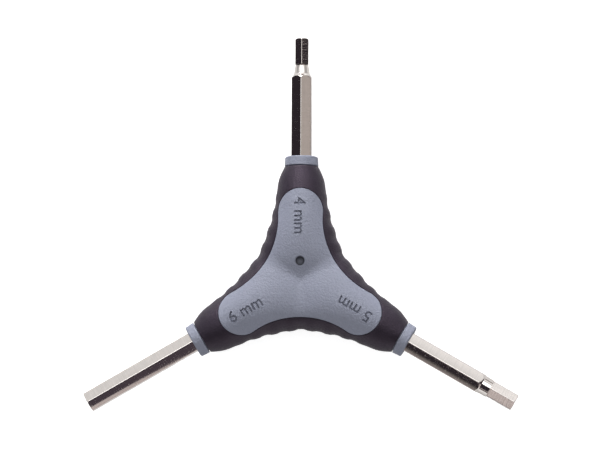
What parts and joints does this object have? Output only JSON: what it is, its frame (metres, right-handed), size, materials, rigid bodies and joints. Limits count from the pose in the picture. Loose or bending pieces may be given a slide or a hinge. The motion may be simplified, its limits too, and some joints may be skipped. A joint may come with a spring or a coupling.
{
  "type": "y wrench",
  "caption": "Y-shaped hex key wrench: plated steel hex shafts of different sizes in a plastic handle with a ribbed rubber overmould.",
  "frame": {"origin": "where the three shaft axes cross at the middle of the hub, at half the handle's thickness", "axes": "+Z out of the front panel, +Y along the 4 mm shaft, +X across the 5 mm and 6 mm shafts' ends, towards the 5 mm side"},
  "size_m": [0.1305, 0.1133, 0.0156],
  "materials": {
    "grey_plastic": "fine leather grain, moulded",
    "black_rubber": "smooth matt, moulded",
    "plated_steel": "bright plate over fine ground flats"
  },
  "bodies": {
    "root": {"handle_core": "grey_plastic", "grip_overmould": "black_rubber", "hex_shaft_4mm": "plated_steel", "hex_shaft_5mm": "plated_steel", "hex_shaft_6mm": "plated_steel"}
  },
  "joints": []
}
